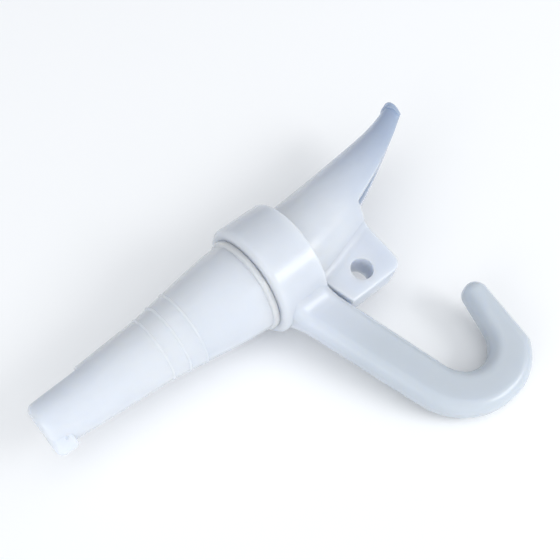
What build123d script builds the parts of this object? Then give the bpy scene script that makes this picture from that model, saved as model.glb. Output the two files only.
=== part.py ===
"""Sap spout for maple tapping: a hollow spout moulding and a bucket hook that turns on it.

The spout lies on its side, as it rests on a bench. The origin is the centre of the sap inlet in the
nose's end face, +X runs along the spout towards the drip lip, and +Z is up. The spout's plane of
symmetry, which holds the lid fin, and the hook's plane both hold the X axis and dip below -Y.
"""

import os
from math import cos, radians, sin, sqrt, tan

from build123d import *

# ---- driving dimensions, mm; x runs along the spout, v outwards from its axis ----
fin_dip = 13.0  # angle of the spout's plane below -Y, degrees
hook_dip = 11.0  # angle of the hook's plane below -Y at rest, degrees

# Nose: a slow cone up to the first raised ring, a steeper one beyond it, then a curved heel
tip_r = 4.05
tip_round = 1.4
seat_x = 20.4
seat_r = 5.6
heel_start_x = 31.5
heel_start_r = 7.37
heel_x = 38.2
heel_r = 8.1

# Flat on the tip, on the side away from the ear
flat_len = 9.0
flat_v = 3.22
flat_end_v = 3.42

# Ear on the tip
ear_len = 3.4
ear_foot_r = 3.75
ear_r = 1.7
ear_v = 3.7
ear_front_round = 1.2
ear_back_round = 0.5
dimple_r = 0.35
dimple_x = 2.4
dimple_v = 4.05
dimple_side = 2.0

# Raised rings on the seat, and the bead that keeps the hook ring on its journal
seat_rings = 3
ring_pitch = 2.9
rib_wire = 0.3
rib_proud = 0.15
bead_x = 38.8  # middle of the bead
bead_len = 1.1
bead_r = 8.6
bead_near_round = 0.55
bead_far_round = 0.12

# Journal and hook ring
swivel_x = 44.0  # middle of the hook ring
journal_r = 7.6
running_gap = 0.08
ring_r = 10.1
ring_len = 9.1
ring_near_round = 1.1
ring_far_round = 0.35

# Sap passage
inlet_r = 2.4
inlet_len = 8.0
passage_x = 38.0  # where the cone of the passage ends
journal_bore_r = 5.9

# Tube and trough: x, centre height, radius of the outer wall and wall thickness at each station
tube_x = 48.65
tube_r = 7.95
trough_stations = [
    (tube_x, 0.0, tube_r, 1.8),
    (55.0, -0.9, 7.5, 1.8),
    (62.0, -2.25, 6.85, 1.8),
    (69.6, -4.17, 5.8, 1.7),
    (76.6, -6.7, 4.3, 1.4),
    (81.9, -9.25, 3.1, 1.1),
    (86.5, -11.8, 2.3, 0.9),
]
rim_start = (62.3, 1.05)
rim_crown = (70.9, -2.3)
rim_dip = (78.5, -6.0)
rim_end = (87.0, -10.9)
rim_bend_r = 1.0
rim_crown_r = 60.0
rim_dip_r = 60.0
lip_top = (84.2, -9.1)  # two points on the end face of the lip
lip_foot = (85.45, -13.9)
lip_bead_x = 83.6
lip_bead_proud = 0.25
lip_round = 0.35

# Lid fin
fin_thick = 5.2
fin_top = 13.9
fin_far_x = 62.15
fin_pass_gap = 0.2  # the hook arm passes the fin this close
fin_pass_v = 7.9  # up to here the fin's near end is flush with the tube's
fin_flare_r = 2.5
flare_bite = 0.15  # each flare ends this far inside what it runs into
fin_stations = 4  # the fin reaches this many of the trough's stations
fin_corner = 2.2
fin_edge = 0.35
lid_pin_r = 2.0
lid_pin_x = 55.7
lid_pin_v = 10.3

# Hook arm, as an outline in the hook's plane; leans are degrees from square to the spout
arm_thick = 5.0
arm_root_v = 8.55
near_lean = 16.4
far_lean = 14.6
near_bend_x = 59.45
near_bend_v = 29.5
near_bend_r = 12.35
bend_flat = 0.85
far_bend_r = 11.0
far_bend_turn = 51.3
leg_bend_r = 3.0
leg_out_lean = 7.3
leg_in_lean = 16.0
leg_len = 10.65
hook_tip_r = 2.1
throat_x = 59.88
throat_v = 29.7
throat_r = 5.25
hook_edge = 2.0
arm_flare_r = 5.0


def plane_through_axis(dip):
    """The plane that holds the X axis, its local Y pointing outwards, dip degrees below -Y."""
    outwards = Vector(0, -cos(radians(dip)), -sin(radians(dip)))
    return Plane(origin=(0, 0, 0), x_dir=(1, 0, 0), z_dir=Vector(1, 0, 0).cross(outwards))


def plane_across_axis(side, x, v=0.0):
    """A plane square to the X axis, centred v outwards from the axis in the plane side."""
    return Plane(origin=side.x_dir * x + side.y_dir * v, x_dir=side.y_dir, z_dir=(1, 0, 0))


def seat_cone_r(x):
    """Outer radius of the nose's steeper cone, on which the raised rings stand."""
    return seat_r + (heel_start_r - seat_r) * (x - seat_x) / (heel_start_x - seat_x)


def flare_ends(half, flare, r, v=0.0):
    """Both ends of an arc that leads from a face, half out from the plane, into a circle.

    The arc's radius is flare. The circle's radius is r and its centre is at height v. The arc runs
    flare_bite into the circle, so that the two surfaces cross.
    """
    centre = Vector(v + sqrt((r + flare) ** 2 - (half + flare) ** 2) - flare_bite, half + flare)
    return Vector(centre.X, half), centre + (Vector(v, 0) - centre).normalized() * flare


spout_side = plane_through_axis(fin_dip)
hook_side = plane_through_axis(hook_dip)

# ---- hook arm's long edges, which the fin's near end follows ----
throat_centre = Vector(throat_x, throat_v)
far_normal = Vector(-cos(radians(far_lean)), sin(radians(far_lean)))


def arm_far_x(v):
    """Where the far edge of the hook arm is at height v."""
    touch = throat_centre + far_normal * throat_r
    return touch.X + (v - touch.Y) * tan(radians(far_lean))


# ---- spout moulding ----
with BuildPart() as spout_body:
    # Ear, rounded before it joins the nose.
    with BuildSketch(plane_across_axis(spout_side, 0)):
        Circle(ear_foot_r)
        with Locations((ear_v, 0)):
            Circle(ear_r)
        make_hull()
    extrude(amount=ear_len)
    fillet(spout_body.faces().sort_by(Axis.X)[0].edges(), ear_front_round)
    fillet(spout_body.faces().sort_by(Axis.X)[-1].edges(), ear_back_round)

    # Nose and journal.
    with BuildSketch(spout_side):
        with BuildLine():
            FilletPolyline((0, 0), (0, tip_r), (seat_x, seat_r), radius=tip_round)
            slope = (heel_start_r - seat_r) / (heel_start_x - seat_x)
            Line((seat_x, seat_r), (heel_start_x, heel_start_r))
            TangentArc((heel_start_x, heel_start_r), (heel_x, heel_r), tangent=(1, slope))
            Polyline(
                (heel_x, heel_r),
                (bead_x, heel_r),
                (bead_x, journal_r),
                (tube_x, journal_r),
                (tube_x, 0),
                (0, 0),
            )
        make_face()
    revolve(axis=Axis.X)

    # Flat on the tip.
    with BuildSketch(spout_side):
        with BuildLine():
            Polyline(
                (-1, -flat_v),
                (flat_len, -flat_end_v),
                (flat_len, -seat_r),
                (-1, -seat_r),
                close=True,
            )
        make_face()
    extrude(amount=seat_r, both=True, mode=Mode.SUBTRACT)

    # Raised rings on the seat.
    with BuildSketch(spout_side):
        for index in range(seat_rings):
            rib_x = seat_x + index * ring_pitch
            with Locations((rib_x, seat_cone_r(rib_x) + rib_proud - rib_wire)):
                Circle(rib_wire)
    revolve(axis=Axis.X)

    # Bead before the journal, rounded towards the nose and square towards the hook ring.
    bead_foot_r = (journal_r + journal_bore_r) / 2
    with BuildSketch(spout_side):
        with BuildLine():
            bead = FilletPolyline(
                (bead_x - bead_len / 2, bead_foot_r),
                (bead_x - bead_len / 2, bead_r),
                (bead_x + bead_len / 2, bead_r),
                (bead_x + bead_len / 2, bead_foot_r),
                radius=[bead_near_round, bead_far_round],
            )
            Line(bead @ 1, bead @ 0)
        make_face()
    revolve(axis=Axis.X)

    # Tube and trough.
    for x, v, r, wall in trough_stations:
        with BuildSketch(plane_across_axis(spout_side, x, v)):
            Circle(r)
    loft()

    # Fin, flared into the tube on both faces. It runs past its far edge, which is cut later.
    for x, v, r, wall in trough_stations[:fin_stations]:
        top, bottom = flare_ends(fin_thick / 2, fin_flare_r, r, v)
        with BuildSketch(plane_across_axis(spout_side, x)):
            with BuildLine():
                Polyline((fin_top, 0), (fin_top, top.Y), top)
                RadiusArc(top, bottom, fin_flare_r)
                Polyline(bottom, (v, bottom.Y), (v, 0))
                mirror(about=Plane.XZ)
            make_face()
    loft()

    # Bead around the drip lip.
    end_x, end_v, end_r, end_wall = trough_stations[-1]
    last_x, last_v, last_r, last_wall = trough_stations[-2]
    share = (lip_bead_x - last_x) / (end_x - last_x)
    bead_v = last_v + (end_v - last_v) * share
    bead_outer_r = last_r + (end_r - last_r) * share + lip_bead_proud
    with BuildSketch(plane_across_axis(spout_side, lip_bead_x, bead_v)):
        Circle(bead_outer_r)
    with BuildSketch(plane_across_axis(spout_side, end_x, end_v)):
        Circle(end_r + lip_bead_proud)
    loft()

    # Sap passage and the hollow of the trough.
    with BuildSketch(spout_side):
        with BuildLine():
            Polyline(
                (-1, 0),
                (-1, inlet_r),
                (inlet_len, inlet_r),
                (passage_x, journal_bore_r),
                (tube_x, journal_bore_r),
                (tube_x, 0),
                close=True,
            )
        make_face()
    revolve(axis=Axis.X, mode=Mode.SUBTRACT)
    for x, v, r, wall in trough_stations:
        with BuildSketch(plane_across_axis(spout_side, x, v)):
            Circle(r - wall)
    loft(mode=Mode.SUBTRACT)

    # The fin's near end, which the hook arm passes.
    near_top = arm_far_x(fin_top) + fin_pass_gap
    near_foot = arm_far_x(fin_pass_v) + fin_pass_gap
    with BuildSketch(spout_side):
        with BuildLine():
            Polyline(
                (tube_x - 1, fin_pass_v),
                (near_foot, fin_pass_v),
                (near_top, fin_top),
                (near_top, fin_top + 1),
                (tube_x - 1, fin_top + 1),
                close=True,
            )
        make_face()
    extrude(amount=tube_r, both=True, mode=Mode.SUBTRACT)

    # The open top: everything outside the fin's far edge and the trough's rim, and past the lip.
    with BuildSketch(spout_side):
        with BuildLine():
            rim = FilletPolyline(
                (fin_far_x - 0.1, fin_top + 4),
                rim_start,
                rim_crown,
                rim_dip,
                rim_end,
                radius=[rim_bend_r, rim_crown_r, rim_dip_r],
            )
            Polyline(rim @ 1, (rim_end[0] + 2, fin_top + 4), rim @ 0)
        make_face()
    extrude(amount=tube_r + 2, both=True, mode=Mode.SUBTRACT)
    end_face = Plane(
        origin=spout_side.from_local_coords(Vector(*lip_top)),
        x_dir=spout_side.z_dir,
        z_dir=spout_side.from_local_coords(Vector(lip_top[1] - lip_foot[1], lip_foot[0] - lip_top[0])),
    )
    split(bisect_by=end_face, keep=Keep.BOTTOM)

    # Rounded corners on the fin, then its outline.
    corners = [
        edge
        for edge in spout_body.edges()
        if spout_side.to_local_coords(edge.center()).Y > fin_top - 0.1
        and abs(spout_side.to_local_coords(edge.center()).Z) < 0.1
    ]
    fillet(ShapeList(corners).sort_by(Axis.X)[-1], fin_corner)
    outline = [
        edge
        for edge in spout_body.edges()
        if spout_side.to_local_coords(edge.center()).Y > fin_pass_v
        and abs(spout_side.to_local_coords(edge.center()).Z) > fin_thick / 2 - 0.1
        and spout_side.to_local_coords(edge.center()).X > tube_x
    ]
    fillet(outline, fin_edge)

    # Rounded edges around the drip lip's end face.
    lip_edges = [
        edge
        for edge in spout_body.edges().filter_by(GeomType.BSPLINE)
        if abs(end_face.to_local_coords(edge.center()).Z) < 0.01
    ]
    fillet(lip_edges, lip_round)

    # Hole for the lid pin, and the dimple that the ejector leaves on the ear.
    with BuildSketch(spout_side):
        with Locations((lid_pin_x, lid_pin_v)):
            Circle(lid_pin_r)
    extrude(amount=fin_thick, both=True, mode=Mode.SUBTRACT)
    with Locations(spout_side.from_local_coords(Vector(dimple_x, dimple_v, -dimple_side))):
        Sphere(dimple_r, mode=Mode.SUBTRACT)
spout_body.part.label = "spout_body"

# ---- hook moulding ----
ring_near_x = swivel_x - ring_len / 2
ring_far_x = swivel_x + ring_len / 2
with BuildPart() as bucket_hook:
    # Root of the arm, as a block that flares into the ring on both faces.
    top, bottom = flare_ends(arm_thick / 2, arm_flare_r, ring_r)
    with BuildSketch(plane_across_axis(hook_side, ring_near_x)):
        with BuildLine():
            Line((top.X, 0), top)
            RadiusArc(top, bottom, arm_flare_r)
            Polyline(bottom, (arm_root_v, bottom.Y), (arm_root_v, 0))
            mirror(about=Plane.XZ)
        make_face()
    extrude(amount=2 * ring_len)

    # The arm's outline also trims the block's two ends.
    with BuildSketch(hook_side) as arm_outline:
        with BuildLine():
            throat = CenterArc(throat_centre, throat_r, leg_in_lean, 180 - leg_in_lean - far_lean)
            near_bend = CenterArc(
                (near_bend_x, near_bend_v), near_bend_r, 180 - near_lean, near_lean - 90
            )
            crown = Line(near_bend @ 1, near_bend @ 1 + Vector(bend_flat, 0))
            far_bend = JernArc(crown @ 1, (1, 0), far_bend_r, -far_bend_turn)
            heel = JernArc(far_bend @ 1, far_bend % 1, leg_bend_r, leg_out_lean + far_bend_turn - 90)
            leg = Line(heel @ 1, heel @ 1 + (heel % 1) * leg_len)
            tip = JernArc(leg @ 1, leg % 1, hook_tip_r, leg_in_lean - leg_out_lean - 180)
            Line(tip @ 1, throat @ 0)
            far_root = (arm_far_x(arm_root_v), arm_root_v)
            rise = (near_bend @ 0).Y - arm_root_v
            near_root = ((near_bend @ 0).X - rise * tan(radians(near_lean)), arm_root_v)
            Polyline(throat @ 1, far_root, near_root, near_bend @ 0)
        make_face()
    extrude(amount=ring_r, both=True, mode=Mode.INTERSECT)
    extrude(arm_outline.sketch, amount=arm_thick / 2, both=True)
    long_edges = [
        edge
        for edge in bucket_hook.edges()
        if abs(hook_side.to_local_coords(edge.center()).Z) > arm_thick / 2 - 0.1
        and hook_side.to_local_coords(edge.center()).Y > ring_r
        and abs(hook_side.to_local_coords(edge.center()).Y - top.X) > 0.01
    ]
    fillet(long_edges, hook_edge)

    # Ring.
    with BuildSketch(hook_side):
        with BuildLine():
            outside = FilletPolyline(
                (ring_near_x, journal_r + running_gap),
                (ring_near_x, ring_r),
                (ring_far_x, ring_r),
                (ring_far_x, journal_r + running_gap),
                radius=[ring_near_round, ring_far_round],
            )
            Line(outside @ 1, outside @ 0)
        make_face()
    revolve(axis=Axis.X)
bucket_hook.part.label = "bucket_hook"

os.makedirs("parts", exist_ok=True)
export_step(spout_body.part, "parts/spout_body.step")
export_step(bucket_hook.part, "parts/bucket_hook.step")
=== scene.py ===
"""Sap spout with a swivelling bucket hook: moulded-plastic finish, floor, lights and camera."""

from math import cos, radians, sin

import bpy
from mathutils import Matrix, Vector


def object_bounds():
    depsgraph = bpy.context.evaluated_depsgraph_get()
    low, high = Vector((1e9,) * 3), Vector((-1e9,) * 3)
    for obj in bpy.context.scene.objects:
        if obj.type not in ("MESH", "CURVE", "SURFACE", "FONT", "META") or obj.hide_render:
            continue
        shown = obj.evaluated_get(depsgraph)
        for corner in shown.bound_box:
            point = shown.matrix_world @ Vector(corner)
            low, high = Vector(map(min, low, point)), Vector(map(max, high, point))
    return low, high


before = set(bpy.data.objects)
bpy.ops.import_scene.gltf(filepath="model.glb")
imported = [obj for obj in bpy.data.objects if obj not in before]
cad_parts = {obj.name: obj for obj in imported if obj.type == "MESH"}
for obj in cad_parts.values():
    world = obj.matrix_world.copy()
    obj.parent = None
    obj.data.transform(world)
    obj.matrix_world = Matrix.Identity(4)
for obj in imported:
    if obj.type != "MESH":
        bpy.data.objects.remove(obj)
cad_low, cad_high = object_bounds()

# ---- view ----
AIM = Vector((0.0467, 0.0004, -0.0059))  # the point the camera looks at, metres
DISTANCE = 0.130
AZIMUTH = -37.74  # degrees
ELEVATION = 53.77
ROLL = -3.61
LENS = 47.23  # mm, on a 36 mm sensor
SENSOR = 36.0

# ---- floor, surroundings and lights ----
FLOOR_SIZE = 3.0
FLOOR_COLOUR = (0.96, 0.96, 0.96)
FLOOR_ROUGHNESS = 0.9
WORLD_COLOUR = (0.93, 0.96, 1.0)
WORLD_SIDE = (-0.2, -0.7, 0.65)  # the studio is brightest this way
WORLD_EDGE = -0.2  # and dimmest from here on, as a cosine from that way
WORLD_DIM = 0.35
WORLD_BRIGHT = 1.2
LIGHTS = [  # name, azimuth and elevation in degrees, then distance, width and height in metres, watts
    ("window", 32, 33, 0.6, 0.28, 0.17, 0.95),
    ("side", -74, 24, 0.6, 0.3, 0.25, 0.45),
    ("overhead", 0, 85, 0.7, 0.6, 0.6, 0.3),
]

# ---- plastic: cloudy between PALE and DEEP, with painted shade darkening it towards the lip and along the hook arm ----
PALE = (0.65, 0.68, 0.735)
DEEP = (0.60, 0.635, 0.70)
LIP_PAINTED_SHADE = (0.28, 0.34, 0.45)
LIP_SHADE_SPAN = (0.057, 0.087)  # x, metres
ARM_PAINTED_SHADE = (0.52, 0.56, 0.60)
ARM_SHADE_SPAN = (-0.009, -0.022)  # y, metres
CLOUD_SCALE = 70  # texture scales are features per metre
CLOUD_RANGE = (0.3, 0.65)
WAVE_SCALE = 260
WAVE_HEIGHT = 0.0004
WAVE_STRENGTH = 0.12
GRAIN_SCALE = 2600
GRAIN_HEIGHT = 0.00006
GRAIN_STRENGTH = 0.10
ROUGHNESS = (0.20, 0.28)
IOR = 1.5
SCATTER_WEIGHT = 0.85
SCATTER_RADIUS = (0.9, 1.0, 1.2)
SCATTER_SCALE = 0.004


def direction(azimuth, elevation):
    """Unit vector towards a light or camera; azimuth 0 is the -Y side and 90 the +X side."""
    a, e = radians(azimuth), radians(elevation)
    return Vector((sin(a) * cos(e), -cos(a) * cos(e), sin(e)))


def make_camera():
    back = direction(AZIMUTH, ELEVATION)
    level = Vector((cos(radians(AZIMUTH)), sin(radians(AZIMUTH)), 0))
    upright = back.cross(level)
    turn = radians(ROLL)
    right = level * cos(turn) + upright * sin(turn)
    up = upright * cos(turn) - level * sin(turn)
    data = bpy.data.cameras.new("camera")
    data.lens = LENS
    data.sensor_width = SENSOR
    data.clip_start = 0.005
    data.clip_end = 20
    camera = bpy.data.objects.new("camera", data)
    axes = Matrix((right, up, back)).transposed().to_4x4()
    camera.matrix_world = Matrix.Translation(AIM + back * DISTANCE) @ axes
    bpy.context.collection.objects.link(camera)
    bpy.context.scene.camera = camera


def area_light(name, azimuth, elevation, distance, width, height, power):
    """A rectangular light that faces the aim point."""
    data = bpy.data.lights.new(name, "AREA")
    data.energy = power
    data.shape = "RECTANGLE"
    data.size = width
    data.size_y = height
    light = bpy.data.objects.new(name, data)
    towards = direction(azimuth, elevation)
    light.location = AIM + towards * distance
    light.rotation_mode = "QUATERNION"
    light.rotation_quaternion = towards.to_track_quat("Z", "Y")
    bpy.context.collection.objects.link(light)


def add_node(tree, kind, **sockets):
    """A shader node; each keyword names an input, with _ for a space."""
    node = tree.nodes.new(kind)
    for key, value in sockets.items():
        node.inputs[key.replace("_", " ")].default_value = value
    return node


def mix_colour(tree, factor, first, second):
    """A colour mix node; each of first and second is a colour or an output socket."""
    mix = tree.nodes.new("ShaderNodeMix")
    mix.data_type = "RGBA"
    tree.links.new(factor, mix.inputs[0])
    for socket, value in ((mix.inputs[6], first), (mix.inputs[7], second)):
        if isinstance(value, tuple):
            socket.default_value = (*value, 1)
        else:
            tree.links.new(value, socket)
    return mix.outputs[2]


def moulded_plastic(name, shade_tone, axis, shade_span, seed):
    """Translucent moulded plastic: cloudy colour that turns to a darker tone of painted shade over a span
    along one axis, and a waved, glossy skin.
    """
    material = bpy.data.materials.new(name)
    material.use_nodes = True
    tree = material.node_tree
    shader = tree.nodes["Principled BSDF"]
    link = tree.links.new
    place = add_node(tree, "ShaderNodeTexCoord")
    shift = add_node(tree, "ShaderNodeMapping", Location=(seed, 0, 0))
    link(place.outputs["Object"], shift.inputs["Vector"])

    # Colour.
    clouds = add_node(tree, "ShaderNodeTexNoise", Scale=CLOUD_SCALE, Detail=3, Roughness=0.5)
    link(shift.outputs["Vector"], clouds.inputs["Vector"])
    spread = add_node(tree, "ShaderNodeMapRange", From_Min=CLOUD_RANGE[0], From_Max=CLOUD_RANGE[1])
    link(clouds.outputs["Fac"], spread.inputs["Value"])
    cloudy = mix_colour(tree, spread.outputs["Result"], DEEP, PALE)
    # Painted shade: the colour darkens to the shade tone over the span along one axis.
    along = add_node(tree, "ShaderNodeSeparateXYZ")
    link(place.outputs["Object"], along.inputs["Vector"])
    shade_reach = add_node(tree, "ShaderNodeMapRange", From_Min=shade_span[0], From_Max=shade_span[1])
    link(along.outputs[axis], shade_reach.inputs["Value"])
    link(mix_colour(tree, shade_reach.outputs["Result"], cloudy, shade_tone), shader.inputs["Base Color"])

    # Waves and grain in the skin.
    grain = add_node(tree, "ShaderNodeTexNoise", Scale=GRAIN_SCALE, Detail=2, Roughness=0.6)
    waves = add_node(tree, "ShaderNodeTexNoise", Scale=WAVE_SCALE, Detail=2, Roughness=0.5)
    for texture in (grain, waves):
        link(shift.outputs["Vector"], texture.inputs["Vector"])
    broad = add_node(tree, "ShaderNodeBump", Strength=WAVE_STRENGTH, Distance=WAVE_HEIGHT)
    fine = add_node(tree, "ShaderNodeBump", Strength=GRAIN_STRENGTH, Distance=GRAIN_HEIGHT)
    link(waves.outputs["Fac"], broad.inputs["Height"])
    link(grain.outputs["Fac"], fine.inputs["Height"])
    link(broad.outputs["Normal"], fine.inputs["Normal"])
    link(fine.outputs["Normal"], shader.inputs["Normal"])

    # Gloss and light carried inside the plastic.
    skin = add_node(tree, "ShaderNodeMapRange", To_Min=ROUGHNESS[0], To_Max=ROUGHNESS[1])
    link(waves.outputs["Fac"], skin.inputs["Value"])
    link(skin.outputs["Result"], shader.inputs["Roughness"])
    shader.inputs["IOR"].default_value = IOR
    shader.inputs["Subsurface Weight"].default_value = SCATTER_WEIGHT
    shader.inputs["Subsurface Radius"].default_value = SCATTER_RADIUS
    shader.inputs["Subsurface Scale"].default_value = SCATTER_SCALE
    return material


def finish_node(node, material):
    """Give a CAD node its material."""
    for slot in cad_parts[node].material_slots:
        slot.material = material


def make_floor():
    """A pale floor at the height of the part's lowest point."""
    bpy.ops.mesh.primitive_plane_add(size=FLOOR_SIZE, location=(AIM.x, AIM.y, cad_low.z))
    floor = bpy.context.object
    floor.name = "floor"
    material = bpy.data.materials.new("floor")
    material.use_nodes = True
    shader = material.node_tree.nodes["Principled BSDF"]
    shader.inputs["Base Color"].default_value = (*FLOOR_COLOUR, 1)
    shader.inputs["Roughness"].default_value = FLOOR_ROUGHNESS
    floor.data.materials.append(material)


def make_world():
    """Soft studio surroundings, brightest towards WORLD_SIDE."""
    world = bpy.data.worlds.new("studio")
    world.use_nodes = True
    tree = world.node_tree
    link = tree.links.new
    background = tree.nodes["Background"]
    background.inputs["Color"].default_value = (*WORLD_COLOUR, 1)
    place = add_node(tree, "ShaderNodeTexCoord")
    towards = add_node(tree, "ShaderNodeVectorMath")
    towards.operation = "DOT_PRODUCT"
    towards.inputs[1].default_value = Vector(WORLD_SIDE).normalized()
    link(place.outputs["Generated"], towards.inputs[0])
    fall = add_node(
        tree, "ShaderNodeMapRange", From_Min=WORLD_EDGE, To_Min=WORLD_DIM, To_Max=WORLD_BRIGHT
    )
    fall.interpolation_type = "SMOOTHSTEP"
    link(towards.outputs["Value"], fall.inputs["Value"])
    link(fall.outputs["Result"], background.inputs["Strength"])
    bpy.context.scene.world = world


bpy.context.scene.view_settings.view_transform = "Standard"
make_world()
make_floor()
make_camera()
for light in LIGHTS:
    area_light(*light)

# Painted shade: the spout darkens towards the lip end of the trough.
finish_node("spout_body", moulded_plastic("spout_plastic", LIP_PAINTED_SHADE, "X", LIP_SHADE_SPAN, 0.0))
# Painted shade: the hook darkens along its arm.
finish_node("bucket_hook", moulded_plastic("hook_plastic", ARM_PAINTED_SHADE, "Y", ARM_SHADE_SPAN, 3.7))
